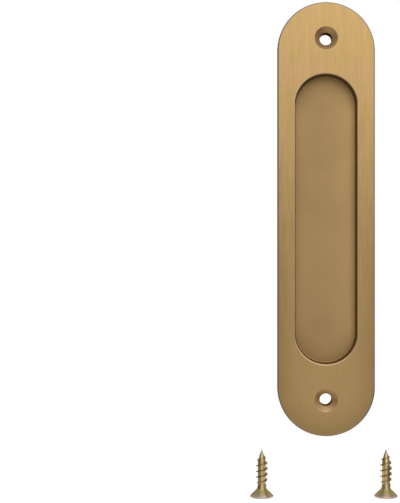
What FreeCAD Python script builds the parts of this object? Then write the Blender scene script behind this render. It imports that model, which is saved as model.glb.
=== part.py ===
import FreeCAD
import Part

import math
import os

# Oval flush pull for a sliding pocket door, with its two countersunk wood screws.
# Millimetres. +Z runs up the door along the pull, the face looks towards -Y, and
# y = 0 is the surface of the door, which the back of the face plate lies on.

# Face plate
PLATE_LENGTH = 178.0
PLATE_WIDTH = 40.0
PLATE_THICKNESS = 3.0
FACE_EDGE_RADIUS = 0.6

# Finger pan, let into the plate and standing behind it
RECESS_END_MARGIN = 29.6  # from the end of the plate to the end of the recess
RECESS_SIDE_MARGIN = 7.4  # from the side of the plate to the side of the recess
RECESS_DEPTH = 6.0  # from the face to the floor
RECESS_DRAFT = 0.5  # degrees, so that the casting leaves its mould
LIP_RADIUS = 0.6
FLOOR_RADIUS = 0.4
PAN_WALL = 2.0
PAN_FLOOR = 2.0
PAN_BOTTOM_RADIUS = 2.2
PAN_ROOT_RADIUS = 1.0

# Wood screws, 3/4 inch long
SCREW_LENGTH = 19.0
HEAD_DIAMETER = 9.4
HEAD_ANGLE = 90.0  # degrees, the whole angle of the cone
HEAD_RIM = 0.35
NECK_DIAMETER = 3.6
NECK_LENGTH = 0.9
NECK_TAPER_LENGTH = 0.6
CORE_DIAMETER = 3.0
THREAD_DIAMETER = 4.7  # over the crests, which have to pass through the bores
SHOULDER_LENGTH = 2.6  # where the core tapers towards the point
SHOULDER_DIAMETER = 1.9
POINT_LENGTH = 2.6
POINT_TIP_RADIUS = 0.08

# Cross recess in the head of the screws
DRIVE_SPAN = 5.0
DRIVE_SLOT = 1.15
DRIVE_DEPTH = 2.1
DRIVE_TAPER = 14.0  # degrees, each side of a wing's end

# Screw holes
HOLE_CLEARANCE = 0.2  # between the thread and the bore, all round
HEAD_CLEARANCE = 0.05  # between the rim of the head and the countersink, all round
HOLE_END_MARGIN = 14.75  # from the end of the plate to the middle of a hole
BOSS_WALL = 2.4
BOSS_HEIGHT = 4.0

# Where the screws stand on their heads, below the pull
STAND_DROP = 24.0  # from the lower end of the plate to the surface they stand on
STAND_OUT = 5.0  # from the door's surface out to the axes of the screws
LEFT_SCREW_X = -26.4
RIGHT_SCREW_X = 24.2

# Sizes that follow from the ones above
FACE_Y = -PLATE_THICKNESS
FLOOR_Y = FACE_Y + RECESS_DEPTH
PAN_BACK_Y = FLOOR_Y + PAN_FLOOR
RECESS_LENGTH = PLATE_LENGTH - 2 * RECESS_END_MARGIN
RECESS_WIDTH = PLATE_WIDTH - 2 * RECESS_SIDE_MARGIN
PAN_LENGTH = RECESS_LENGTH + 2 * PAN_WALL
PAN_WIDTH = RECESS_WIDTH + 2 * PAN_WALL
HOLE_DIAMETER = THREAD_DIAMETER + 2 * HOLE_CLEARANCE
COUNTERSINK_DIAMETER = HEAD_DIAMETER + 2 * HEAD_CLEARANCE
HOLE_Z = PLATE_LENGTH / 2 - HOLE_END_MARGIN
BOSS_DIAMETER = HOLE_DIAMETER + 2 * BOSS_WALL
STAND_Z = -PLATE_LENGTH / 2 - STAND_DROP

OVERRUN = 1.0  # how far a cutting solid runs past the face that it opens
TOLERANCE = 0.01  # for finding edges by where they lie


def vector(x, y, z):
    return FreeCAD.Vector(x, y, z)


def cone_radius_change(height, whole_angle):
    """How much a cone of this whole angle widens over a height."""
    return height * math.tan(math.radians(whole_angle / 2))


def drafted_oval(length, width, y_from, y_to, draft=0.0):
    """A solid with straight sides and round ends that narrows by the draft from y_from to y_to."""
    half_from = width / 2
    half_to = half_from - (y_to - y_from) * math.tan(math.radians(draft))
    end_z = length / 2 - half_from
    section = Part.makePolygon(
        [
            vector(-half_from, y_from, -end_z),
            vector(half_from, y_from, -end_z),
            vector(half_to, y_to, -end_z),
            vector(-half_to, y_to, -end_z),
            vector(-half_from, y_from, -end_z),
        ]
    )
    solid = Part.Face(section).extrude(vector(0, 0, 2 * end_z))
    half_section = Part.makePolygon(
        [
            vector(0, y_from, 0),
            vector(half_from, y_from, 0),
            vector(half_to, y_to, 0),
            vector(0, y_to, 0),
            vector(0, y_from, 0),
        ]
    )
    for side in (1, -1):
        half = Part.Face(half_section)
        half.translate(vector(0, 0, side * end_z))
        centre = vector(0, 0, side * end_z)
        solid = solid.fuse(half.revolve(centre, vector(0, -side, 0), 180))
    return solid.removeSplitter()


def edges_at(shape, y, length, width):
    """The edges that lie in the plane at y, on the oval outline of this length and width."""
    found = []
    for edge in shape.Edges:
        box = edge.BoundBox
        if abs(box.YMin - y) > TOLERANCE or abs(box.YMax - y) > TOLERANCE:
            continue
        if all(on_oval(vertex.Point, length, width) for vertex in edge.Vertexes):
            found.append(edge)
    return found


def on_oval(point, length, width):
    """Whether a point lies on the outline of an oval of this length and width."""
    end_z = length / 2 - width / 2
    beyond = max(abs(point.z) - end_z, 0.0)
    return abs(math.hypot(point.x, beyond) - width / 2) < TOLERANCE


def make_face_plate():
    """The oval plate, with the edge of its face rounded over."""
    plate = drafted_oval(PLATE_LENGTH, PLATE_WIDTH, FACE_Y, 0)
    return plate.makeFillet(
        FACE_EDGE_RADIUS, edges_at(plate, FACE_Y, PLATE_LENGTH, PLATE_WIDTH)
    )


def make_pan_outside():
    """The outside of the finger pan, from inside the plate to its flat bottom."""
    depth = PAN_BACK_Y - FACE_Y
    pan = drafted_oval(PAN_LENGTH, PAN_WIDTH, FACE_Y, PAN_BACK_Y, RECESS_DRAFT)
    shrink = 2 * depth * math.tan(math.radians(RECESS_DRAFT))
    bottom = edges_at(pan, PAN_BACK_Y, PAN_LENGTH - shrink, PAN_WIDTH - shrink)
    pan = pan.makeFillet(PAN_BOTTOM_RADIUS, bottom)
    keep = Part.makeBox(
        PLATE_WIDTH,
        PAN_BACK_Y - FACE_Y / 2 + OVERRUN,
        PLATE_LENGTH,
        vector(-PLATE_WIDTH / 2, FACE_Y / 2, -PLATE_LENGTH / 2),
    )
    return pan.common(keep)


def make_recess():
    """The hollow of the finger pan, with its rounded floor, open past the face."""
    slope = math.tan(math.radians(RECESS_DRAFT))
    top_y = FACE_Y - OVERRUN
    grow = 2 * OVERRUN * slope
    recess = drafted_oval(
        RECESS_LENGTH + grow, RECESS_WIDTH + grow, top_y, FLOOR_Y, RECESS_DRAFT
    )
    shrink = 2 * RECESS_DEPTH * slope
    floor = edges_at(recess, FLOOR_Y, RECESS_LENGTH - shrink, RECESS_WIDTH - shrink)
    return recess.makeFillet(FLOOR_RADIUS, floor)


def make_countersunk_hole(z):
    """The bore for one screw with the cone for its head, as a cutting solid."""
    bore = HOLE_DIAMETER / 2
    mouth = COUNTERSINK_DIAMETER / 2
    slope = cone_radius_change(1.0, HEAD_ANGLE)
    cone_depth = (mouth - bore) / slope
    profile = Part.makePolygon(
        [
            vector(0, FACE_Y - OVERRUN, z),
            vector(mouth + OVERRUN * slope, FACE_Y - OVERRUN, z),
            vector(bore, FACE_Y + cone_depth, z),
            vector(bore, BOSS_HEIGHT + OVERRUN, z),
            vector(0, BOSS_HEIGHT + OVERRUN, z),
            vector(0, FACE_Y - OVERRUN, z),
        ]
    )
    return Part.Face(profile).revolve(vector(0, 0, z), vector(0, 1, 0), 360)


def make_pull_body():
    """The whole casting: face plate, finger pan and the two screw bosses."""
    body = make_face_plate().fuse(make_pan_outside())
    for z in (HOLE_Z, -HOLE_Z):
        boss = Part.makeCylinder(
            BOSS_DIAMETER / 2,
            BOSS_HEIGHT - FACE_Y / 2,
            vector(0, FACE_Y / 2, z),
            vector(0, 1, 0),
        )
        body = body.fuse(boss)
    body = body.removeSplitter()

    shrink = 2 * PLATE_THICKNESS * math.tan(math.radians(RECESS_DRAFT))
    root = edges_at(body, 0, PAN_LENGTH - shrink, PAN_WIDTH - shrink)
    body = body.makeFillet(PAN_ROOT_RADIUS, root)

    body = body.cut(make_recess())
    lip = edges_at(body, FACE_Y, RECESS_LENGTH, RECESS_WIDTH)
    body = body.makeFillet(LIP_RADIUS, lip)
    for z in (HOLE_Z, -HOLE_Z):
        body = body.cut(make_countersunk_hole(z))
    return body


def make_screw_blank():
    """The turned form of the screw about Z: head down at z = 0, neck, core and point."""
    head = HEAD_DIAMETER / 2
    neck = NECK_DIAMETER / 2
    core = CORE_DIAMETER / 2
    cone_top = HEAD_RIM + (head - neck) / cone_radius_change(1.0, HEAD_ANGLE)
    taper_from = cone_top + NECK_LENGTH
    core_from = taper_from + NECK_TAPER_LENGTH
    point_from = SCREW_LENGTH - POINT_LENGTH
    shoulder_from = point_from - SHOULDER_LENGTH
    profile = Part.makePolygon(
        [
            vector(0, 0, 0),
            vector(head, 0, 0),
            vector(head, 0, HEAD_RIM),
            vector(neck, 0, cone_top),
            vector(neck, 0, taper_from),
            vector(core, 0, core_from),
            vector(core, 0, shoulder_from),
            vector(SHOULDER_DIAMETER / 2, 0, point_from),
            vector(POINT_TIP_RADIUS, 0, SCREW_LENGTH),
            vector(0, 0, SCREW_LENGTH),
            vector(0, 0, 0),
        ]
    )
    return Part.Face(profile).revolve(vector(0, 0, 0), vector(0, 0, 1), 360)


def make_cross_recess():
    """The drive in the head: two crossed wings that narrow inwards, as a cutting solid."""
    half_span = DRIVE_SPAN / 2
    shrink = DRIVE_DEPTH * math.tan(math.radians(DRIVE_TAPER))
    grow = OVERRUN * math.tan(math.radians(DRIVE_TAPER))
    wing = Part.Face(
        Part.makePolygon(
            [
                vector(-half_span - grow, -DRIVE_SLOT / 2, -OVERRUN),
                vector(half_span + grow, -DRIVE_SLOT / 2, -OVERRUN),
                vector(half_span - shrink, -DRIVE_SLOT / 2, DRIVE_DEPTH),
                vector(-half_span + shrink, -DRIVE_SLOT / 2, DRIVE_DEPTH),
                vector(-half_span - grow, -DRIVE_SLOT / 2, -OVERRUN),
            ]
        )
    ).extrude(vector(0, DRIVE_SLOT, 0))
    across = wing.copy()
    across.rotate(vector(0, 0, 0), vector(0, 0, 1), 90)
    return wing.fuse(across)


def make_screw():
    """One wood screw with the drive in its head, standing on its head at the origin."""
    return make_screw_blank().cut(make_cross_recess())


def place_screw(screw, x):
    """A copy of the screw that stands in front of the door's surface, below the pull."""
    placed = screw.copy()
    placed.translate(vector(x, -STAND_OUT, STAND_Z))
    return placed


def main():
    os.makedirs("parts", exist_ok=True)
    screw = make_screw()
    nodes = {
        "pull_body": make_pull_body(),
        "left_screw": place_screw(screw, LEFT_SCREW_X),
        "right_screw": place_screw(screw, RIGHT_SCREW_X),
    }
    for name, shape in nodes.items():
        solid = shape.Solids[0] if len(shape.Solids) == 1 else shape
        solid.exportStep(os.path.join("parts", name + ".step"))
        box = solid.BoundBox
        print(
            f"{name}: {len(shape.Solids)} solid, valid {solid.isValid()}, {solid.Volume:.1f} mm3, "
            f"x {box.XMin:.2f} to {box.XMax:.2f}, y {box.YMin:.2f} to {box.YMax:.2f}, "
            f"z {box.ZMin:.2f} to {box.ZMax:.2f}"
        )


main()
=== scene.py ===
"""Looks of an oval flush pull for a pocket door, with its two countersunk wood screws."""

from __future__ import annotations

import logging
import math
from collections.abc import Callable
from dataclasses import dataclass
from enum import Enum

import bmesh
import bpy
from bpy.types import NodeSocket
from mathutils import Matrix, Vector

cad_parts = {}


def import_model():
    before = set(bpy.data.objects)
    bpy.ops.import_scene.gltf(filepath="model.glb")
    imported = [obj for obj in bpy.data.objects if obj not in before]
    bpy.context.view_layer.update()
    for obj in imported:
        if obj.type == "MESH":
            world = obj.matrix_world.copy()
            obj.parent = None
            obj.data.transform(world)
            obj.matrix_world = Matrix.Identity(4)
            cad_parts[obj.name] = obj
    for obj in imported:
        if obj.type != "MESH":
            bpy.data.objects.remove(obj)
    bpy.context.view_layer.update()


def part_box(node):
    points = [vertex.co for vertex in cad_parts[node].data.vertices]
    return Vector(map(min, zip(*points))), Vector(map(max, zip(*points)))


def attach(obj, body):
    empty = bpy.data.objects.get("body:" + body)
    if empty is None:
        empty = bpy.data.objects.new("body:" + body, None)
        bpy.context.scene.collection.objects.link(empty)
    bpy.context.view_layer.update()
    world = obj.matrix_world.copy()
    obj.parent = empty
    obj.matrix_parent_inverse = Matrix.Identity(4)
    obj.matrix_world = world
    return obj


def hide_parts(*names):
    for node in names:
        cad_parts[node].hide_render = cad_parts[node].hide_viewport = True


LOG = logging.getLogger("pocket_door_pull")
MM = 0.001
BODY = "root"
TOUCH = 2e-6  # metres within which a vertex counts as lying on a plane or an outline
ALONG_Y = Vector((0, 1, 0))
ALONG_Z = Vector((0, 0, 1))
ORIGIN = (0, 0, 0)
WHITE = (1, 1, 1, 1)
RELIEF_DEPTH = 0.01 * MM

Colour = tuple[float, float, float]
Levels = tuple[tuple[float, float], ...]  # positions and the brightness at each
Test = Callable[[object], bool]  # takes a bmesh element and says whether it is wanted


class Pick(Enum):
    """What edit mode selects."""

    VERT = "VERT"
    EDGE = "EDGE"
    FACE = "FACE"


class Join(Enum):
    """How one solid is worked into another."""

    ADD = "UNION"
    CUT = "DIFFERENCE"
    KEEP_COMMON = "INTERSECT"


# Modelling


def deselect_all() -> None:
    """Leave edit mode and deselect every object."""
    if bpy.context.object and bpy.context.object.mode != "OBJECT":
        bpy.ops.object.mode_set(mode="OBJECT")
    bpy.ops.object.select_all(action="DESELECT")


def make_active(piece: bpy.types.Object) -> None:
    """Make one object the only selected and the active one.

    Args:
        piece: The object to work on.
    """
    deselect_all()
    piece.select_set(True)
    bpy.context.view_layer.objects.active = piece


def edit(piece: bpy.types.Object) -> None:
    """Enter edit mode on one object with nothing selected.

    Args:
        piece: The object to edit.
    """
    make_active(piece)
    bpy.ops.object.mode_set(mode="EDIT")
    bpy.ops.mesh.select_all(action="DESELECT")


def pick(kind: Pick, test: Test) -> int:
    """Select the elements of the edited mesh that pass a test.

    Args:
        kind: Whether vertices, edges or faces are tested.
        test: Says whether an element is wanted.

    Returns:
        How many elements were selected.
    """
    bpy.ops.mesh.select_mode(type=kind.value)
    bpy.ops.mesh.select_all(action="DESELECT")
    data = bpy.context.object.data
    mesh = bmesh.from_edit_mesh(data)
    elements = {Pick.VERT: mesh.verts, Pick.EDGE: mesh.edges, Pick.FACE: mesh.faces}[kind]
    wanted = [element for element in elements if test(element)]
    for element in wanted:
        element.select_set(True)
    mesh.select_flush_mode()
    bmesh.update_edit_mesh(data)
    return len(wanted)


def face_outwards() -> None:
    """Select the whole edited mesh and point its faces outwards."""
    bpy.ops.mesh.select_all(action="SELECT")
    bpy.ops.mesh.normals_make_consistent(inside=False)


def work_in(piece: bpy.types.Object, tool: bpy.types.Object, how: Join) -> None:
    """Work a tool solid into a piece and take the tool away.

    Args:
        piece: The object that keeps the result.
        tool: The solid that is added, cut out or intersected.
        how: Which of the three it is.
    """
    make_active(piece)
    modifier = piece.modifiers.new("work_in", "BOOLEAN")
    modifier.operation = how.value
    modifier.solver = "EXACT"
    modifier.object = tool
    bpy.ops.object.modifier_apply(modifier=modifier.name)
    bpy.data.objects.remove(tool, do_unlink=True)


def finish_shading(piece: bpy.types.Object, angle_deg: float) -> None:
    """Smooth the rounded parts, keep flat faces flat and point every face outwards.

    Args:
        piece: The finished mesh.
        angle_deg: Edges sharper than this stay sharp.
    """
    edit(piece)
    bpy.ops.mesh.select_all(action="SELECT")
    bpy.ops.mesh.remove_doubles(threshold=TOUCH)
    face_outwards()
    make_active(piece)
    bpy.ops.object.shade_smooth_by_angle(angle=math.radians(angle_deg))
    weighted = piece.modifiers.new("flat_faces", "WEIGHTED_NORMAL")
    weighted.mode = "FACE_AREA"
    weighted.weight = 100
    weighted.keep_sharp = True
    bpy.ops.object.modifier_apply(modifier=weighted.name)


def assign_finish(piece: bpy.types.Object, index: int, test: Test) -> None:
    """Give the faces that pass a test one of the piece's materials.

    Args:
        piece: The piece.
        index: The material's slot.
        test: Says whether a face is wanted.
    """
    edit(piece)
    pick(Pick.FACE, test)
    piece.active_material_index = index
    bpy.ops.object.material_slot_assign()
    make_active(piece)


def circle_face(
    name: str, radius: float, centre: Vector, turn: tuple[float, float, float], corners: int
) -> bpy.types.Object:
    """Add a filled circle whose place and turn are in its mesh.

    Args:
        name: The object's name.
        radius: Its radius in metres.
        centre: Its centre.
        turn: Its rotation in radians about X, Y and Z.
        corners: How many corners it has.

    Returns:
        The new object.
    """
    deselect_all()
    bpy.ops.mesh.primitive_circle_add(
        vertices=corners, radius=radius, fill_type="NGON", location=centre, rotation=turn
    )
    piece = bpy.context.object
    piece.name = name
    bpy.ops.object.transform_apply()
    return piece


def draw_solid(
    name: str, axis: Vector, base: Vector, radius: float, steps: list[tuple[float, float]],
    corners: int,
) -> bpy.types.Object:
    """Model a closed round solid by drawing a filled circle out along Y or Z.

    Args:
        name: The object's name.
        axis: The unit vector that the circle is drawn along.
        base: The circle's centre, which heights are counted from.
        radius: The circle's radius in metres.
        steps: Each further station's height and radius, in metres.
        corners: How many corners each station has.

    Returns:
        The solid.
    """
    turn = (math.pi, 0, 0) if axis.z else (-math.pi / 2, 0, 0)
    solid = circle_face(name, radius, base, turn, corners)
    edit(solid)
    bpy.ops.mesh.select_all(action="SELECT")
    height = 0.0
    for next_height, next_radius in steps:
        bpy.ops.mesh.extrude_region_move(
            TRANSFORM_OT_translate={"value": axis * (next_height - height)}
        )
        ratio = next_radius / radius
        bpy.ops.transform.resize(value=(ratio,) * 3, center_override=base + axis * next_height)
        height, radius = next_height, next_radius
    face_outwards()
    return solid


def round_edges(test: Test, width: float, segments: int, slide: bool = True) -> None:
    """Round over the edges of the edited mesh that pass a test.

    Args:
        test: Says whether an edge is rounded.
        width: The radius of the rounding in metres.
        segments: How many faces lie across it.
        slide: Whether its borders slide along the edges that meet it.
    """
    if pick(Pick.EDGE, test):
        bpy.ops.mesh.bevel(
            offset=width, segments=segments, profile=0.5, affect="EDGES", clamp_overlap=True,
            loop_slide=slide,
        )


# Finishes


def grey(stops: Levels) -> list[tuple[float, Colour]]:
    """Stops of plain brightness as stops of colour."""
    return [(position, (level, level, level)) for position, level in stops]


class NodeDesk:
    """Builds the nodes of one material or of the world."""

    def __init__(self, owner: bpy.types.Material | bpy.types.World) -> None:
        """Start with no nodes.

        Args:
            owner: The material or world.
        """
        owner.use_nodes = True
        owner.node_tree.nodes.clear()
        self.owner = owner

    def fill(self, socket: NodeSocket, value: NodeSocket | float | tuple[float, ...]) -> None:
        """Link an input to an output or give it a value.

        Args:
            socket: The input.
            value: The output, or the value.
        """
        if isinstance(value, NodeSocket):
            self.owner.node_tree.links.new(value, socket)
        else:
            socket.default_value = value

    def add(
        self, kind: str, inputs: dict[str | int, object] | None = None, **settings: object
    ) -> bpy.types.Node:
        """Add a node.

        Args:
            kind: Its type name, without the part that all of these names start with.
            inputs: What goes into its inputs: outputs of other nodes, or values.
            **settings: Its properties.

        Returns:
            The node.
        """
        node = self.owner.node_tree.nodes.new("ShaderNode" + kind)
        for name, value in settings.items():
            setattr(node, name, value)
        for name, value in (inputs or {}).items():
            self.fill(node.inputs[name], value)
        return node

    def axis(self, letter: str, space: str = "Object") -> NodeSocket:
        """One of a point's own coordinates, in metres, or of a direction's in the world."""
        place = self.add("TexCoord").outputs[space]
        return self.add("SeparateXYZ", {"Vector": place}).outputs[letter]

    def grain(
        self, scale: tuple[float, float, float], detail: float, roughness: float
    ) -> NodeSocket:
        """Noise on the piece's own coordinates.

        Args:
            scale: Grains for each metre along X, Y and Z.
            detail: How many finer layers it has.
            roughness: How strong those layers are.

        Returns:
            The noise's value, from 0 to 1.
        """
        place = self.add("TexCoord").outputs["Object"]
        mapping = self.add("Mapping", {"Vector": place, "Scale": scale})
        layers = {"Scale": 1.0, "Detail": detail, "Roughness": roughness}
        noise = self.add(
            "TexNoise", {"Vector": mapping.outputs["Vector"], **layers}, noise_dimensions="3D"
        )
        return noise.outputs["Fac"]

    def reckon(self, operation: str, *terms: NodeSocket | float) -> NodeSocket:
        """Work out a value from sockets and numbers.

        Args:
            operation: The Math node's operation.
            *terms: Its inputs in order.

        Returns:
            The result.
        """
        node = self.add("Math", dict(enumerate(terms)), operation=operation)
        return node.outputs["Value"]

    def span(
        self, value: NodeSocket, low: float, high: float, first: float = 0.0, last: float = 1.0,
        **settings: object,
    ) -> NodeSocket:
        """Spread a range of a value over another range.

        Args:
            value: The value.
            low: The value at which the result starts to change.
            high: The value from which it changes no more.
            first: The result up to the one.
            last: The result beyond the other.
            **settings: Properties of the Map Range node.

        Returns:
            The result.
        """
        ends = {"From Min": low, "From Max": high, "To Min": first, "To Max": last}
        return self.add("MapRange", {"Value": value, **ends}, **settings).outputs["Result"]

    def spread(self, noise: NodeSocket, low: float, high: float) -> NodeSocket:
        """Spread the middle of a noise over a range."""
        return self.span(noise, 0.3, 0.7, low, high)

    def from_middle(self, half_width: float, end_z: float) -> NodeSocket:
        """How far a point lies from the middle line of an upright oval.

        Args:
            half_width: Half the oval's width in metres.
            end_z: The height of the centre of its round end.

        Returns:
            The result, from 0 on the middle line to 1 on the outline.
        """
        past = self.reckon("SUBTRACT", self.reckon("ABSOLUTE", self.axis("Z")), end_z)
        beyond = self.reckon("MAXIMUM", past, 0.0)
        aside = self.axis("X")
        squares = (self.reckon("MULTIPLY", side, side) for side in (aside, beyond))
        away = self.reckon("SQRT", self.reckon("ADD", *squares))
        return self.reckon("DIVIDE", away, half_width)

    def mix(
        self, first: NodeSocket, second: NodeSocket | tuple[float, ...], share: NodeSocket | float,
        blend: str = "MIX",
    ) -> NodeSocket:
        """Mix two colours.

        Args:
            first: The colour that is changed.
            second: The colour that is mixed in.
            share: How much of the change shows, from 0 to 1.
            blend: The Mix node's way of mixing.

        Returns:
            The mixed colour.
        """
        node = self.add("Mix", {"Factor": share}, data_type="RGBA", blend_type=blend)
        colours = [socket for socket in node.inputs if socket.type == "RGBA"]
        self.fill(colours[0], first)
        self.fill(colours[1], second)
        return next(socket for socket in node.outputs if socket.type == "RGBA")

    def tint(
        self, colour: NodeSocket, by: NodeSocket, share: NodeSocket | float = 1.0
    ) -> NodeSocket:
        """Multiply one colour by another, as far as the share says."""
        return self.mix(colour, by, share, "MULTIPLY")

    def ramp(self, value: NodeSocket, stops: list[tuple[float, Colour]]) -> NodeSocket:
        """Colour a value by a list of stops.

        Args:
            value: The value, from 0 to 1.
            stops: Positions and their linear colours.

        Returns:
            The colour.
        """
        node = self.add("ValToRGB", {"Fac": value})
        elements = node.color_ramp.elements
        while len(elements) < len(stops):
            elements.new(0.5)
        for element, (position, colour) in zip(elements, stops):
            element.position = position
            element.color = (*colour, 1.0)
        return node.outputs["Color"]

    def bump(self, height: NodeSocket, strength: float) -> NodeSocket:
        """Turn a height from 0 to 1 into the normal of a fine relief."""
        inputs = {"Height": height, "Strength": strength, "Distance": RELIEF_DEPTH}
        return self.add("Bump", inputs).outputs["Normal"]

    def surface(
        self, kind: str, inputs: dict[str | int, object]
    ) -> bpy.types.Material | bpy.types.World:
        """Finish with the last shader.

        Args:
            kind: The shader's type name, as for any node.
            inputs: What goes into its inputs.

        Returns:
            The finished material or world.
        """
        output = "OutputWorld" if isinstance(self.owner, bpy.types.World) else "OutputMaterial"
        self.add(output, {"Surface": self.add(kind, inputs).outputs[0]})
        return self.owner


@dataclass(frozen=True)
class BrushedBrass:
    """Brass brushed in fine lines along the pull, more strongly towards its upper end."""

    colour: Colour = (0.410, 0.266, 0.112)
    contrast: float = 1.05
    olive: Colour = (0.980, 1.004, 0.92)
    rose: Colour = (1.018, 0.994, 1.075)
    smooth: float = 0.27
    rough: float = 0.37
    stretch: float = 0.85
    relief: float = 0.25
    line_width: float = 0.34 * MM
    line_length: float = 8.0 * MM
    line_share: float = 0.65
    broader: float = 5.0
    longer: float = 3.0
    patch_width: float = 4.0 * MM
    patch_length: float = 9.0 * MM
    faint_below: float = -80.0 * MM
    strong_above: float = 25.0 * MM
    faintest: float = 0.22
    half_width: float = 20.0 * MM
    end_z: float = 69.0 * MM
    # Painted light and shade: brightness of the face from its middle line (1.17) to its outline
    # (0.89), shown fully from shaded_below downwards and not at all above plain_above.
    painted_light_by_edge: Levels = (
        (0.0, 1.17), (0.42, 1.16), (0.62, 1.10), (0.77, 1.03), (0.90, 0.93), (1.0, 0.89),
    )
    plain_above: float = 10.0 * MM
    shaded_below: float = -25.0 * MM

    def build(self) -> bpy.types.Material:
        """Build the finish.

        Returns:
            The material.
        """
        desk = NodeDesk(bpy.data.materials.new("brushed_brass"))
        across, along = 1 / self.line_width, 1 / self.line_length
        lines = desk.grain((across, across, along), detail=2.0, roughness=0.55)
        across, along = across / self.broader, along / self.longer
        bands = desk.grain((across, across, along), detail=2.0, roughness=0.5)
        across, along = 1 / self.patch_width, 1 / self.patch_length
        patches = desk.grain((across, across, along), detail=1.0, roughness=0.5)
        streaks = desk.reckon(
            "ADD",
            desk.reckon("MULTIPLY", lines, self.line_share),
            desk.reckon("MULTIPLY", bands, 1 - self.line_share),
        )
        up = desk.axis("Z")
        fade = desk.span(up, self.faint_below, self.strong_above, self.faintest, 1.0)
        worn, hues = (
            desk.reckon("MULTIPLY_ADD", desk.reckon("SUBTRACT", noise, 0.5), fade, 0.5)
            for noise in (streaks, patches)
        )
        dark = tuple(channel * (1 - self.contrast / 2) for channel in self.colour)
        light = tuple(channel * (1 + self.contrast / 2) for channel in self.colour)
        colour = desk.tint(
            desk.ramp(worn, [(0.0, dark), (1.0, light)]),
            desk.ramp(hues, [(0.34, self.olive), (0.66, self.rose)]),
        )
        # Painted light and shade: lighter down the middle of the face and darker towards its
        # edges, on its lower part only.
        painted_shading = desk.ramp(desk.from_middle(self.half_width, self.end_z), grey(self.painted_light_by_edge))
        painted_shading_share = desk.span(up, self.plain_above, self.shaded_below)
        return desk.surface("BsdfPrincipled", {
            "Metallic": 1.0,
            "Base Color": desk.tint(colour, painted_shading, painted_shading_share),
            "Roughness": desk.spread(worn, self.smooth, self.rough),
            "Anisotropic": self.stretch,
            "Normal": desk.bump(worn, self.relief),
        })


@dataclass(frozen=True)
class SatinBrass:
    """The same brass, blasted to an even satin with no lines."""

    name: str = "satin_brass"
    dark: Colour = (0.39, 0.256, 0.113)
    light: Colour = (0.42, 0.275, 0.123)
    # Painted light and shade across X, and painted shade towards the ends of the oval; both are
    # plain by default.
    by_side: Levels = ((0.0, 1.0), (1.0, 1.0))
    painted_shade_by_end: Levels = ((0.0, 1.0), (1.0, 1.0))
    side_reach: float = 12.0 * MM
    half_width: float = 12.6 * MM
    end_z: float = 46.8 * MM
    plain_within: float = 44.0 * MM
    shaded_beyond: float = 52.0 * MM
    edge: Colour = (0.30, 0.20, 0.08)
    smooth: float = 0.50
    rough: float = 0.58
    grain_size: float = 0.35 * MM
    cloud_size: float = 18.0 * MM
    relief: float = 0.12

    def build(self) -> bpy.types.Material:
        """Build the finish.

        Returns:
            The material.
        """
        desk = NodeDesk(bpy.data.materials.new(self.name))
        fine = desk.grain((1 / self.grain_size,) * 3, detail=2.0, roughness=0.5)
        cloud = desk.grain((1 / self.cloud_size,) * 3, detail=2.0, roughness=0.5)
        aside = desk.span(desk.axis("X"), -self.side_reach, self.side_reach)
        # Painted light and shade across X.
        colour = desk.tint(
            desk.ramp(cloud, [(0.35, self.dark), (0.65, self.light)]),
            desk.ramp(aside, grey(self.by_side)),
        )
        # Painted shade towards the oval's ends, shown beyond plain_within.
        painted_shading = desk.ramp(desk.from_middle(self.half_width, self.end_z), grey(self.painted_shade_by_end))
        away = desk.reckon("ABSOLUTE", desk.axis("Z"))
        painted_shading_share = desk.span(away, self.plain_within, self.shaded_beyond)
        return desk.surface("BsdfPrincipled", {
            "Metallic": 1.0,
            "Base Color": desk.tint(colour, painted_shading, painted_shading_share),
            "Roughness": desk.spread(fine, self.smooth, self.rough),
            "Specular Tint": (*self.edge, 1.0),
            "Normal": desk.bump(fine, self.relief),
        })


@dataclass(frozen=True)
class YellowZinc:
    """Steel plated with yellow zinc, whose thin film shifts from rose and olive to gold."""

    name: str = "yellow_zinc"
    # Painted shade: every colour of the film is scaled by this.
    painted_shading: float = 1.0
    foot: float = -113.0 * MM
    length: float = 19.0 * MM
    # Besides the film's own hues these stops hold painted shade: the head's cone, from 1.1 mm to
    # 3.0 mm, is darker.
    film_and_painted_shade: tuple[tuple[float, Colour], ...] = (  # heights in millimetres and linear colours
        (0.0, (0.54, 0.44, 0.35)),
        (0.5, (0.48, 0.38, 0.30)),
        (1.1, (0.36, 0.28, 0.20)),
        (2.1, (0.34, 0.28, 0.12)),
        (3.0, (0.35, 0.29, 0.11)),
        (3.6, (0.42, 0.31, 0.15)),
        (5.4, (0.52, 0.37, 0.20)),
        (8.5, (0.56, 0.40, 0.20)),
        (12.5, (0.60, 0.43, 0.19)),
        (16.5, (0.46, 0.37, 0.19)),
        (18.6, (0.34, 0.28, 0.19)),
    )
    edge: Colour = (0.35, 0.30, 0.22)
    smooth: float = 0.22
    rough: float = 0.32
    patch_size: float = 2.2 * MM
    grain_size: float = 0.25 * MM
    drift: float = 0.10
    relief: float = 0.15

    def build(self) -> bpy.types.Material:
        """Build the finish.

        Returns:
            The material.
        """
        desk = NodeDesk(bpy.data.materials.new(self.name))
        patches = desk.grain((1 / self.patch_size,) * 3, detail=2.0, roughness=0.55)
        fine = desk.grain((1 / self.grain_size,) * 3, detail=2.0, roughness=0.5)
        along = desk.span(desk.axis("Z"), self.foot, self.foot + self.length)
        drift = desk.reckon("MULTIPLY_ADD", patches, self.drift, -self.drift / 2)
        stops = [
            (height * MM / self.length, tuple(channel * self.painted_shading for channel in colour))
            for height, colour in self.film_and_painted_shade
        ]
        return desk.surface("BsdfPrincipled", {
            "Metallic": 1.0,
            "Base Color": desk.ramp(desk.reckon("ADD", along, drift), stops),
            "Roughness": desk.spread(fine, self.smooth, self.rough),
            "Specular Tint": (*self.edge, 1.0),
            "Normal": desk.bump(fine, self.relief),
        })


# The casting


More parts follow.
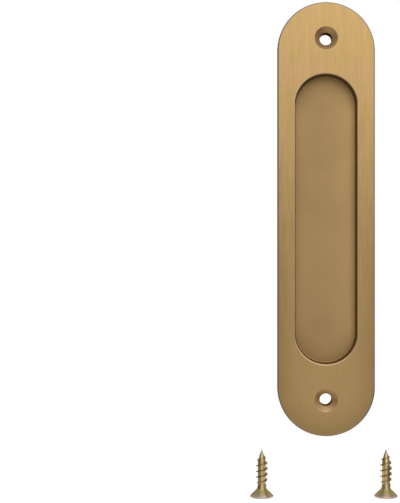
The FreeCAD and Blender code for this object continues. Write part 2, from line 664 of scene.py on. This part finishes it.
@dataclass
class FlushPull:
    """The one-piece pull: face plate, finger pan and screw bosses."""

    length: float = 178.0 * MM
    width: float = 40.0 * MM
    thickness: float = 3.0 * MM
    face_round: float = 0.6 * MM
    back_round: float = 0.15 * MM
    recess_end_margin: float = 29.6 * MM
    recess_side_margin: float = 7.4 * MM
    recess_depth: float = 6.0 * MM
    draft_deg: float = 0.5
    lip_round: float = 0.6 * MM
    floor_round: float = 0.4 * MM
    wall: float = 2.0 * MM
    floor: float = 2.0 * MM
    pan_round: float = 2.2 * MM
    root_round: float = 1.0 * MM
    hole_radius: float = 2.55 * MM
    countersink_radius: float = 4.75 * MM
    hole_end_margin: float = 14.75 * MM
    boss_radius: float = 4.95 * MM
    boss_height: float = 4.0 * MM
    hole_edge_round: float = 0.12 * MM
    countersink_round: float = 0.30 * MM
    edge_band: float = 1.0 * MM  # from the lip outwards, which the painted shade of the edge stays clear of
    overrun: float = 1.0 * MM  # how far the drill starts and ends outside the casting
    corners: int = 160
    hole_corners: int = 96
    sharp_deg: float = 38.0

    def __post_init__(self) -> None:
        """Work out the sizes that follow from the others."""
        self.face_y = -self.thickness
        self.floor_y = self.face_y + self.recess_depth
        self.pan_back_y = self.floor_y + self.floor
        self.slope = math.tan(math.radians(self.draft_deg))
        self.hole_z = self.length / 2 - self.hole_end_margin
        self.end_z = self.length / 2 - self.width / 2
        self.recess_half = self.width / 2 - self.recess_side_margin
        self.recess_end_z = self.length / 2 - self.recess_end_margin - self.recess_half
        self.pan_half = self.recess_half + self.wall - self.thickness * self.slope
        self.cone_depth = self.countersink_radius - self.hole_radius

    def edge_on(self, y: float, half: float, end_z: float) -> Test:
        """A test for the edges of one oval outline in the plane at y.

        Args:
            y: Where the plane lies.
            half: Half the oval's width.
            end_z: The height of the centre of its round end.

        Returns:
            The test.
        """

        def on_outline(point: Vector) -> bool:
            """Whether a point lies on the outline."""
            away = math.hypot(point.x, max(abs(point.z) - end_z, 0.0))
            return abs(point.y - y) < TOUCH and abs(away - half) < 12 * TOUCH

        return lambda edge: all(on_outline(v.co) for v in edge.verts)

    def edge_round_hole(self, y: float, radius: float) -> Test:
        """A test for the edges of a circle about either screw hole in the plane at y."""
        return lambda edge: all(
            abs(v.co.y - y) < TOUCH and abs(self.from_hole(v.co) - radius) < 4 * TOUCH
            for v in edge.verts
        )

    def stretch(self, distance: float) -> None:
        """Move the two ends of the selected outline apart.

        Args:
            distance: How far each end moves, in metres.
        """
        data = bpy.context.object.data
        chosen = {v.index for v in bmesh.from_edit_mesh(data).verts if v.select}
        for side in (1, -1):
            pick(Pick.VERT, lambda v, s=side: v.index in chosen and v.co.z * s > 0)
            bpy.ops.transform.translate(value=(0, 0, side * distance))
        pick(Pick.VERT, lambda v: v.index in chosen)
        bpy.ops.mesh.select_mode(type="FACE")

    def cast_plate(self) -> bpy.types.Object:
        """Model the oval plate.

        Returns:
            The plate, closed, with square edges.
        """
        centre = Vector((0, self.face_y, 0))
        turn = (math.pi / 2, 0, 0)
        plate = circle_face("pull_casting", self.width / 2, centre, turn, self.corners)
        edit(plate)
        bpy.ops.mesh.select_all(action="SELECT")
        bpy.ops.transform.rotate(
            value=math.pi / self.corners, orient_axis="Y", center_override=ORIGIN
        )
        self.stretch(self.end_z)
        bpy.ops.mesh.select_all(action="SELECT")
        bpy.ops.mesh.extrude_region_move(
            TRANSFORM_OT_translate={"value": (0, self.thickness, 0)}
        )
        face_outwards()
        return plate

    def sink_recess(self) -> None:
        """Let the finger recess into the face of the edited plate."""
        pick(Pick.FACE, lambda f: f.normal.y < -0.9)
        bpy.ops.mesh.inset(thickness=self.recess_side_margin, depth=0)
        self.stretch(self.recess_end_z - self.end_z)
        bpy.ops.mesh.inset(thickness=self.recess_depth * self.slope, depth=-self.recess_depth)

    def raise_pan(self) -> None:
        """Raise the outside of the finger pan from the back of the edited plate."""
        pick(Pick.FACE, lambda f: f.normal.y > 0.9 and abs(f.calc_center_median().y) < TOUCH)
        bpy.ops.mesh.inset(thickness=self.width / 2 - self.pan_half, depth=0)
        self.stretch(self.recess_end_z - self.end_z)
        bpy.ops.mesh.inset(thickness=self.pan_back_y * self.slope, depth=self.pan_back_y)

    def round_over(self) -> None:
        """Round the rims of the edited plate, then the lip, the floor and the pan."""
        floor_half = self.recess_half - self.recess_depth * self.slope
        bottom_half = self.pan_half - self.pan_back_y * self.slope
        face_edge = self.edge_on(self.face_y, self.width / 2, self.end_z)
        round_edges(face_edge, self.face_round, 5, slide=False)
        round_edges(self.edge_on(0.0, self.width / 2, self.end_z), self.back_round, 2)
        for y, half, radius, segments in (
            (self.face_y, self.recess_half, self.lip_round, 6),
            (self.floor_y, floor_half, self.floor_round, 8),
            (self.pan_back_y, bottom_half, self.pan_round, 8),
            (0.0, self.pan_half, self.root_round, 5),
        ):
            round_edges(self.edge_on(y, half, self.recess_end_z), radius, segments)

    def add_bosses(self, casting: bpy.types.Object) -> None:
        """Stand a boss behind each screw hole.

        Args:
            casting: The casting.
        """
        steps = [(self.boss_height + self.thickness / 2, self.boss_radius)]
        for side in (1, -1):
            foot = Vector((0, -self.thickness / 2, side * self.hole_z))
            boss = draw_solid("boss", ALONG_Y, foot, self.boss_radius, steps, self.hole_corners)
            work_in(casting, boss, Join.ADD)

    def drill(self, casting: bpy.types.Object) -> None:
        """Drill and countersink both screw holes.

        Args:
            casting: The casting.
        """
        wide = self.countersink_radius + self.overrun
        steps = [
            (self.overrun + self.cone_depth, self.hole_radius),
            (2 * self.overrun + self.thickness + self.boss_height, self.hole_radius),
        ]
        for side in (1, -1):
            start = Vector((0, self.face_y - self.overrun, side * self.hole_z))
            drill = draw_solid("drill", ALONG_Y, start, wide, steps, self.hole_corners)
            work_in(casting, drill, Join.CUT)
        edit(casting)
        for y, radius, width in (
            (self.face_y, self.countersink_radius, self.countersink_round),
            (self.face_y + self.cone_depth, self.hole_radius, self.hole_edge_round),
            (self.boss_height, self.hole_radius, self.hole_edge_round),
            (self.boss_height, self.boss_radius, self.hole_edge_round),
        ):
            round_edges(self.edge_round_hole(y, radius), width, 3)

    def from_hole(self, point: Vector) -> float:
        """How far a point lies from the axis of the nearer screw hole."""
        return math.hypot(point.x, abs(point.z) - self.hole_z)

    def within(self, point: Vector, half: float) -> bool:
        """Whether a point lies inside the recess's oval, grown to this half width."""
        beyond = max(abs(point.z) - self.recess_end_z, 0.0)
        return math.hypot(point.x, beyond) < half

    def in_recess(self, point: Vector) -> bool:
        """Whether a point lies on the recess's wall or floor."""
        return self.within(point, self.recess_half + TOUCH) and point.y < self.floor_y + TOUCH

    def in_hole(self, point: Vector) -> bool:
        """Whether a point lies in a screw hole or its countersink.

        Args:
            point: The point.

        Returns:
            True if it does.
        """
        reach = self.hole_radius + self.hole_edge_round
        if point.y < self.face_y + self.cone_depth + self.hole_edge_round:
            reach = self.countersink_radius + self.countersink_round
        return self.from_hole(point) < reach + TOUCH

    def lines_hole(self, face: object) -> bool:
        """Whether all of a face lies in a screw hole or its countersink."""
        return all(self.in_hole(v.co) for v in face.verts)

    def dress(self, casting: bpy.types.Object) -> None:
        """Give each region of the casting its finish, several of them with painted light and
        shade.

        Args:
            casting: The finished mesh.
        """
        lip_half = self.recess_half + self.lip_round
        polish = {"dark": (0.42, 0.305, 0.17), "light": (0.45, 0.33, 0.19), "relief": 0.05}
        regions = (
            (BrushedBrass(), lambda c, f: True),
            # Painted shade: the outer roundings and sides of the plate are a darker brass.
            (
                SatinBrass(
                    "edge_brass_painted_shade", dark=(0.27, 0.205, 0.12), light=(0.30, 0.23, 0.135),
                    smooth=0.28, rough=0.36, relief=0.05,
                ),
                lambda c, f: f.normal.y > -0.995 and not self.within(c, lip_half + self.edge_band),
            ),
            (
                SatinBrass("polished_lip", smooth=0.30, rough=0.36, **polish),
                lambda c, f: self.within(c, lip_half - TOUCH) and c.y < self.floor_y + TOUCH,
            ),
            (
                # The recess floor: painted shade on its left, painted light on its right, and
                # painted shade towards its ends.
                SatinBrass(
                    by_side=((0.0, 0.93), (0.38, 0.91), (0.63, 0.95), (0.82, 1.04), (0.95, 1.13)),
                    painted_shade_by_end=((0.0, 1.0), (0.3, 0.985), (0.5, 0.945), (0.7, 0.90), (1.0, 0.87)),
                ),
                lambda c, f: self.in_recess(c),
            ),
            # Painted shade: the recess's walls and the round at their foot are a darker brass.
            (
                SatinBrass("recess_wall_painted_shade", dark=(0.36, 0.235, 0.10), light=(0.38, 0.25, 0.11)),
                lambda c, f: self.in_recess(c) and f.normal.y > -0.98,
            ),
            (
                SatinBrass("hole_rim", smooth=0.28, rough=0.34, **polish),
                lambda c, f: self.lines_hole(f) and f.normal.y < 0.5,
            ),
            # Painted light: the countersink cones are a lighter brass than the rest of the
            # casting.
            (
                SatinBrass(
                    "drilled_brass_painted_light", dark=(0.56, 0.385, 0.195), light=(0.59, 0.41, 0.21),
                    smooth=0.42, rough=0.50, relief=0.05,
                ),
                lambda c, f: self.lines_hole(f) and -0.74 < f.normal.y < 0.5,
            ),
            # Painted shade: the straight bores are a nearly black brass.
            (
                SatinBrass("bore_painted_shade", dark=(0.07, 0.042, 0.012), light=(0.09, 0.055, 0.018)),
                lambda c, f: self.lines_hole(f) and abs(f.normal.y) < 0.3,
            ),
            (
                SatinBrass("cast_brass", smooth=0.5, rough=0.62, grain_size=0.6 * MM, relief=0.3),
                lambda c, f: c.y > -TOUCH and not (self.in_recess(c) or self.lines_hole(f)),
            ),
        )
        for index, (finish, wanted) in enumerate(regions):
            casting.data.materials.append(finish.build())
            assign_finish(casting, index, lambda f, w=wanted: w(f.calc_center_median(), f))

    def build(self) -> bpy.types.Object:
        """Model and dress the casting.

        Returns:
            The finished piece.
        """
        casting = self.cast_plate()
        self.sink_recess()
        self.raise_pan()
        self.round_over()
        self.add_bosses(casting)
        self.drill(casting)
        finish_shading(casting, self.sharp_deg)
        self.dress(casting)
        return casting


# The screws


@dataclass
class WoodScrew:
    """A countersunk wood screw with a cross recess, standing on its head."""

    length: float = 19.0 * MM
    head_radius: float = 4.70 * MM
    rim: float = 0.35 * MM
    neck_radius: float = 1.8 * MM
    neck_length: float = 0.9 * MM
    taper_length: float = 0.6 * MM
    core_radius: float = 1.6 * MM
    shoulder_length: float = 2.6 * MM
    shoulder_radius: float = 0.95 * MM
    shoulder_fullness: float = 0.54  # of the radii at its ends, half way along
    point_length: float = 2.6 * MM
    point_fullness: float = 0.56
    tip_radius: float = 0.08 * MM
    # Stations of the hollow under the cone: height from its top, and reach outside the neck
    throat: tuple[tuple[float, float], ...] = (
        (-0.35 * MM, 0.35 * MM), (-0.08 * MM, 0.12 * MM), (0.25 * MM, 0.0),
    )
    thread_radius: float = 2.40 * MM
    pitch: float = 2.305 * MM
    crest: float = 0.32 * MM
    flank: float = 0.16 * MM
    phase_deg: float = 37.0
    steps_in_turn: int = 40
    head_gap: float = 1.1 * MM
    head_fade: float = 3.4 * MM
    runout_from: float = 13.0 * MM
    runout_mid: float = 16.2 * MM
    runout_radius: float = 1.42 * MM
    point_gap: float = 1.6 * MM
    trim_clearance: float = 0.01 * MM
    trim_flare: float = 0.4 * MM
    trim_reach: float = 1.4
    thread_from: float = 0.06 * MM  # how far outside the turned form the thread's finish starts
    drive_span: float = 5.0 * MM
    drive_slot: float = 1.15 * MM
    drive_depth: float = 2.1 * MM
    drive_taper_deg: float = 14.0
    drive_narrowing: float = 0.8
    drive_overrun: float = 0.5 * MM
    corners: int = 72
    sharp_deg: float = 35.0

    def __post_init__(self) -> None:
        """Work out the heights at which one stretch of the screw meets the next."""
        self.cone_top = self.rim + self.head_radius - self.neck_radius
        self.taper_from = self.cone_top + self.neck_length
        self.core_from = self.taper_from + self.taper_length
        self.point_from = self.length - self.point_length
        self.shoulder_from = self.point_from - self.shoulder_length

    def turn_blank(self) -> bpy.types.Object:
        """Model the turned form: head, neck, core and point.

        Returns:
            The blank.
        """
        shoulder = self.shoulder_fullness * (self.core_radius + self.shoulder_radius)
        steps = [
            (self.rim / 4, self.head_radius),
            (self.rim, self.head_radius),
            *((self.cone_top + up, self.neck_radius + out) for up, out in self.throat),
            (self.taper_from, self.neck_radius),
            (self.core_from, self.core_radius),
            (self.shoulder_from, self.core_radius),
            (self.shoulder_from + self.shoulder_length / 2, shoulder),
            (self.point_from, self.shoulder_radius),
            (self.point_from + self.point_length / 2, self.point_fullness * self.shoulder_radius),
            (self.length, self.tip_radius),
        ]
        foot_radius = self.head_radius - self.rim / 4
        return draw_solid("screw", ALONG_Z, Vector(), foot_radius, steps, self.corners)

    def wind_ridge(self) -> bpy.types.Object:
        """Model the helical ridge before it is trimmed.

        Returns:
            The ridge, closed at both ends.
        """
        root = self.shoulder_radius / 2
        half_crest = self.crest / 2
        grow = self.flank / (self.thread_radius - self.core_radius)
        half_root = half_crest + grow * (self.thread_radius - root)
        first = self.cone_top - self.pitch
        turns = (self.length - self.point_gap + self.pitch / 2 - first) / self.pitch
        deselect_all()
        bpy.ops.mesh.primitive_plane_add(size=1.0, location=ORIGIN, rotation=(math.pi / 2, 0, 0))
        ridge = bpy.context.object
        ridge.name = "ridge"
        bpy.ops.object.transform_apply()
        edit(ridge)
        inside = 0.25  # the plane's corners lie at 0.5, and those that have moved within this
        for side, radius, half in ((-1, root, half_root), (1, self.thread_radius, half_crest)):
            for up in (1, -1):
                pick(Pick.VERT, lambda v, s=side, u=up: min(v.co.x * s, v.co.z * u) > inside)
                here = next(v.co for v in bmesh.from_edit_mesh(ridge.data).verts if v.select)
                move = Vector((radius, 0, first + up * half)) - here
                bpy.ops.transform.translate(value=move)
        bpy.ops.mesh.select_all(action="SELECT")
        bpy.ops.mesh.delete(type="ONLY_FACE")
        make_active(ridge)
        screw = ridge.modifiers.new("wind", "SCREW")
        screw.axis = "Z"
        screw.angle = 2 * math.pi * turns
        screw.screw_offset = self.pitch * turns
        screw.steps = screw.render_steps = round(self.steps_in_turn * turns)
        screw.use_merge_vertices = False
        bpy.ops.object.modifier_apply(modifier=screw.name)
        edit(ridge)
        bpy.ops.mesh.select_mode(type="EDGE")
        bpy.ops.mesh.select_non_manifold()
        bpy.ops.mesh.edge_face_add()
        face_outwards()
        bpy.ops.transform.rotate(
            value=-math.radians(self.phase_deg), orient_axis="Z", center_override=ORIGIN
        )
        return ridge

    def envelope(self) -> bpy.types.Object:
        """Model the solid that the ridge is trimmed to, from the neck to the point.

        Returns:
            The solid.
        """
        foot = self.cone_top + self.head_gap
        runout = self.runout_from - foot
        clear = self.thread_radius + self.trim_clearance
        wide = self.trim_reach * self.thread_radius
        steps = [
            (self.head_fade, clear),
            (self.head_fade + self.trim_flare, wide),
            (runout - self.trim_flare, wide),
            (runout, clear),
            (self.runout_mid - foot, self.runout_radius),
            (self.length - self.point_gap - foot, self.shoulder_radius / 2),
        ]
        start = Vector((0, 0, foot))
        return draw_solid("envelope", ALONG_Z, start, self.neck_radius, steps, self.corners)

    def drive(self) -> bpy.types.Object:
        """Model the cross recess as a cutting solid.

        Returns:
            The solid.
        """
        over = self.drive_overrun
        shrink = self.drive_depth * math.tan(math.radians(self.drive_taper_deg))
        long_ratio = 1 - 2 * shrink / self.drive_span
        wings = []
        for turn, ratios in (
            (0.0, (long_ratio, self.drive_narrowing, 1)),
            (math.pi / 2, (self.drive_narrowing, long_ratio, 1)),
        ):
            deselect_all()
            bpy.ops.mesh.primitive_cube_add(
                size=1.0, location=(0, 0, (self.drive_depth - over) / 2), rotation=(0, 0, turn)
            )
            wing = bpy.context.object
            wing.scale = (self.drive_span, self.drive_slot, self.drive_depth + over)
            bpy.ops.object.transform_apply()
            edit(wing)
            pick(Pick.FACE, lambda f: f.normal.z > 0.9)
            bpy.ops.transform.resize(value=ratios, center_override=(0, 0, self.drive_depth))
            wings.append(wing)
        work_in(wings[0], wings[1], Join.ADD)
        return wings[0]

    def on_thread(self, point: Vector) -> bool:
        """Whether a point lies on the thread, outside the turned form.

        Args:
            point: The point.

        Returns:
            True if it does.
        """
        shape = (
            (self.cone_top, self.neck_radius),
            (self.taper_from, self.neck_radius),
            (self.core_from, self.core_radius),
            (self.shoulder_from, self.core_radius),
            (self.point_from, self.shoulder_radius),
            (self.length, self.tip_radius),
        )
        for (low, low_radius), (high, high_radius) in zip(shape, shape[1:]):
            if low < point.z <= high:
                share = (point.z - low) / (high - low)
                surface = low_radius + share * (high_radius - low_radius)
                return math.hypot(point.x, point.y) > surface + self.thread_from
        return False

    def build(self) -> bpy.types.Object:
        """Model one screw at the origin and dress it.

        Returns:
            The screw, standing on its head at z = 0.
        """
        blank = self.turn_blank()
        ridge = self.wind_ridge()
        work_in(ridge, self.envelope(), Join.KEEP_COMMON)
        work_in(blank, ridge, Join.ADD)
        work_in(blank, self.drive(), Join.CUT)
        finish_shading(blank, self.sharp_deg)
        blank.data.materials.append(YellowZinc().build())
        # Painted shade: the thread's faces are the same film at 0.62 of its brightness.
        blank.data.materials.append(YellowZinc("yellow_zinc_thread_painted_shade", painted_shading=0.62).build())
        assign_finish(blank, 1, lambda f: self.on_thread(f.calc_center_median()))
        return blank

    def stand(
        self, pattern: bpy.types.Object, name: str, node: str, turn_deg: float
    ) -> bpy.types.Object:
        """Copy the screw to where the frame has one of its own.

        Args:
            pattern: The screw at the origin.
            name: The copy's name.
            node: The node that it stands for.
            turn_deg: How far it is turned about its axis.

        Returns:
            The copy.
        """
        low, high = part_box(node)
        make_active(pattern)
        bpy.ops.object.duplicate(linked=False)
        screw = bpy.context.object
        screw.name = name
        screw.rotation_euler.z = math.radians(turn_deg)
        screw.location = ((low.x + high.x) / 2, (low.y + high.y) / 2, low.z)
        bpy.ops.object.transform_apply()
        return screw


# The studio


@dataclass
class Studio:
    """Table top, backdrop, lights and camera."""

    camera_at: tuple[float, float, float] = (-30.0 * MM, -413.0 * MM, -13.26 * MM)
    aim_x: float = -51.68 * MM
    aim_y: float = -3.0 * MM
    frame_height: float = 206.0 * MM
    sensor_height: float = 36.0
    by_height: Levels = (
        (-1.0, 0.45), (-0.6, 0.86), (-0.20, 0.98), (-0.10, 0.885), (-0.035, 0.885), (0.012, 0.96),
        (0.055, 1.15), (0.10, 1.31), (0.15, 1.67), (0.24, 1.98), (0.45, 2.15), (0.70, 1.40),
        (1.0, 0.80),
    )
    by_side: Levels = (
        (-1.0, 0.16), (-0.7, 0.20), (-0.35, 0.53), (0.0, 0.94), (0.20, 1.22), (0.35, 1.20),
        (0.55, 0.72), (0.8, 0.38), (1.0, 0.30),
    )
    by_side_low: Levels = (
        (-1.0, 0.36), (-0.7, 0.50), (-0.4, 0.80), (-0.1, 1.00), (0.05, 0.96), (0.20, 0.60),
        (0.45, 0.34), (0.7, 0.20), (1.0, 0.14),
    )
    by_side_high: Levels = (
        (-1.0, 0.50), (-0.6, 0.60), (-0.3, 0.70), (0.0, 0.92), (0.3, 0.90), (0.6, 0.55),
        (1.0, 0.35),
    )
    low_from: float = -0.19
    low_at: float = -0.225
    high_from: float = 0.45
    high_at: float = 0.75
    white_from: float = 0.45
    white_at: float = 0.8
    table_radius: float = 62.0 * MM
    table_y: float = 15.0 * MM
    table_z: float = -113.0 * MM
    table_glow: float = 0.55
    table_colour: Colour = (0.6, 0.6, 0.6)
    fade_from: float = 0.55
    fade_at: float = 0.98
    lamp_at: tuple[float, float, float] = (0.1, -0.6, 1.1)
    lamp_side: float = 1.2
    lamp_watts: float = 2.0

    def table_top(self) -> bpy.types.Material:
        """White table top that glows a little, takes shadows and fades out at its rim.

        Returns:
            The material.
        """
        desk = NodeDesk(bpy.data.materials.new("table_top"))
        place = desk.add("TexCoord").outputs["Object"]
        centred = {"Vector": place, "Location": (0, -self.table_y, 0), "Scale": (1, 1, 0)}
        flat = desk.add("Mapping", centred).outputs["Vector"]
        away = desk.add("VectorMath", {0: flat}, operation="LENGTH").outputs["Value"]
        ends = (self.table_radius * self.fade_from, self.table_radius * self.fade_at)
        faded = desk.span(away, *ends, interpolation_type="SMOOTHSTEP")
        below = desk.add("NewGeometry").outputs["Backfacing"]
        paper = desk.add("BsdfDiffuse", {"Color": (*self.table_colour, 1)})
        glow = desk.add("Emission", {"Color": WHITE, "Strength": self.table_glow})
        both = desk.add("AddShader", {0: paper.outputs["BSDF"], 1: glow.outputs["Emission"]})
        clear = desk.add("BsdfTransparent")
        return desk.surface("MixShader", {
            "Fac": desk.reckon("MAXIMUM", faded, below),
            1: both.outputs["Shader"],
            2: clear.outputs["BSDF"],
        })

    def lay_table(self) -> None:
        """Lay the round table top that the screws stand on."""
        deselect_all()
        bpy.ops.mesh.primitive_circle_add(
            vertices=96, radius=self.table_radius, fill_type="NGON",
            location=(0, self.table_y, self.table_z),
        )
        table = bpy.context.object
        table.name = "table"
        bpy.ops.object.transform_apply()
        table.data.materials.append(self.table_top())

    def light_world(self) -> None:
        """Surround the scene with a soft studio: a white backdrop, and light graded in front."""
        desk = NodeDesk(bpy.data.worlds.new("soft_studio"))
        bpy.context.scene.world = desk.owner
        x, y, z = (desk.axis(letter, "Generated") for letter in "XYZ")
        by_height, sides, sides_low, sides_high = (
            desk.ramp(
                desk.span(value, -1.0, 1.0), grey([((at + 1) / 2, level) for at, level in stops])
            )
            for value, stops in (
                (z, self.by_height),
                (x, self.by_side),
                (x, self.by_side_low),
                (x, self.by_side_high),
            )
        )
        sides = desk.mix(sides, sides_low, desk.span(z, self.low_from, self.low_at))
        sides = desk.mix(sides, sides_high, desk.span(z, self.high_from, self.high_at))
        # Every ray sees the white backdrop behind the pull, so its metal does too. In front
        # only the camera sees white, and the metal mirrors the graded light that it needs.
        behind = desk.span(y, self.white_from, self.white_at, interpolation_type="SMOOTHSTEP")
        camera_ray = desk.add("LightPath").outputs["Is Camera Ray"]
        white = desk.reckon("MAXIMUM", behind, camera_ray)
        desk.surface("Background", {"Color": desk.mix(desk.tint(by_height, sides), WHITE, white)})

    def hang_lamp(self) -> None:
        """Hang one soft lamp that points at the middle of the pull."""
        deselect_all()
        bpy.ops.object.light_add(type="AREA", location=self.lamp_at)
        lamp = bpy.context.object
        lamp.name = "overhead"
        lamp.data.shape = "SQUARE"
        lamp.data.size = self.lamp_side
        lamp.data.energy = self.lamp_watts
        lamp.rotation_euler = (-Vector(self.lamp_at)).to_track_quat("-Z", "Y").to_euler()

    def set_camera(self) -> None:
        """Place the camera where the photograph was taken from."""
        deselect_all()
        bpy.ops.object.camera_add(location=self.camera_at, rotation=(math.pi / 2, 0, 0))
        camera = bpy.context.object
        camera.name = "camera"
        lens = camera.data
        lens.sensor_fit = "VERTICAL"
        lens.sensor_height = self.sensor_height
        lens.lens = self.sensor_height * (self.aim_y - self.camera_at[1]) / self.frame_height
        lens.shift_x = (self.aim_x - self.camera_at[0]) / self.frame_height
        lens.clip_start = 0.01
        bpy.context.scene.camera = camera

    def build(self) -> None:
        """Set up the whole studio."""
        bpy.context.scene.view_settings.view_transform = "Standard"
        self.lay_table()
        self.light_world()
        self.hang_lamp()
        self.set_camera()


def main() -> None:
    """Build every piece round the frame and finish the scene."""
    logging.basicConfig(level=logging.INFO, format="%(name)s: %(message)s")
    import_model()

    pull = FlushPull().build()
    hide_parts("pull_body")
    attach(pull, BODY)
    LOG.info("pull casting: %d faces", len(pull.data.polygons))

    screw = WoodScrew()
    pattern = screw.build()
    for name, node, turn in (
        ("screw_left", "left_screw", 145.0),
        ("screw_right", "right_screw", 100.0),
    ):
        copy = screw.stand(pattern, name, node, turn)
        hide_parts(node)
        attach(copy, BODY)
        LOG.info("%s: %d faces", name, len(copy.data.polygons))
    bpy.data.objects.remove(pattern, do_unlink=True)

    Studio().build()


if __name__ == "__main__":
    main()
